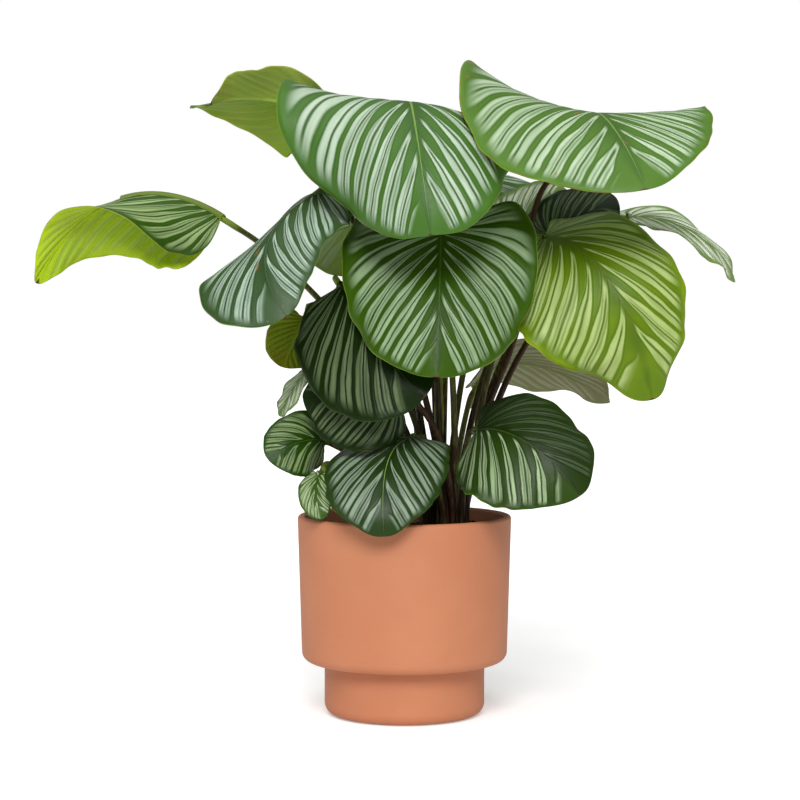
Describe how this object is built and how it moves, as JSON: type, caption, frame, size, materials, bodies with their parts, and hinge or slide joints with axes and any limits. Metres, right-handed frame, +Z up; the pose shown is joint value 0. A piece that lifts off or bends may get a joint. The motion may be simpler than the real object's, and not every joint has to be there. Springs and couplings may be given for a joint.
{
  "type": "potted calathea plant",
  "caption": "House plant with large round leaves striped in silver and green on slender brown stalks, rising from dark soil in a stepped, matt terracotta-coloured pot.",
  "frame": {"origin": "centre of the pot's underside, on the surface it stands on", "axes": "+Z up, the front of the plant faces -Y, +X to the right as seen from the front"},
  "size_m": [0.7989, 0.47, 0.7344],
  "materials": {
    "pot": "matte",
    "soil": "matte",
    "stem": "satin",
    "leaf_green": "satin",
    "leaf_dark": "satin",
    "leaf_blue": "satin",
    "leaf_lime": "satin",
    "leaf_pale": "satin",
    "leaf_olive": "satin",
    "leaf_young": "satin"
  },
  "bodies": {
    "root": {"pot": "pot", "soil": "soil", "stem_crown": "stem", "leaf_crown": "leaf_green", "stem_high_right": "stem", "leaf_high_right": "leaf_green", "stem_far_left": "stem", "leaf_far_left": "leaf_green", "stem_high_left": "stem", "leaf_high_left": "leaf_olive", "stem_silver_left": "stem", "leaf_silver_left": "leaf_blue", "stem_centre": "stem", "leaf_centre": "leaf_green", "stem_lime_right": "stem", "leaf_lime_right": "leaf_lime", "stem_far_right": "stem", "leaf_far_right": "leaf_pale", "stem_low_back_right": "stem", "leaf_low_back_right": "leaf_pale", "stem_dark_left": "stem", "leaf_dark_left": "leaf_dark", "stem_under_dark": "stem", "leaf_under_dark": "leaf_dark", "stem_front_low": "stem", "leaf_front_low": "leaf_green", "stem_right_low": "stem", "leaf_right_low": "leaf_dark", "stem_small_left": "stem", "leaf_small_left": "leaf_dark", "stem_rim_left": "stem", "leaf_rim_left": "leaf_dark", "stem_narrow_left": "stem", "leaf_narrow_left": "leaf_pale", "stem_yellow_left": "stem", "leaf_yellow_left": "leaf_olive", "stem_pale_back": "stem", "leaf_pale_back": "leaf_pale", "stem_shaded_right": "stem", "leaf_shaded_right": "leaf_dark", "stem_back_left": "stem", "leaf_back_left": "leaf_green", "stem_back": "stem", "leaf_back": "leaf_green", "stem_back_right": "stem", "leaf_back_right": "leaf_green", "stem_low_back": "stem", "leaf_low_back": "leaf_dark", "new_leaf": "leaf_young"}
  },
  "joints": []
}
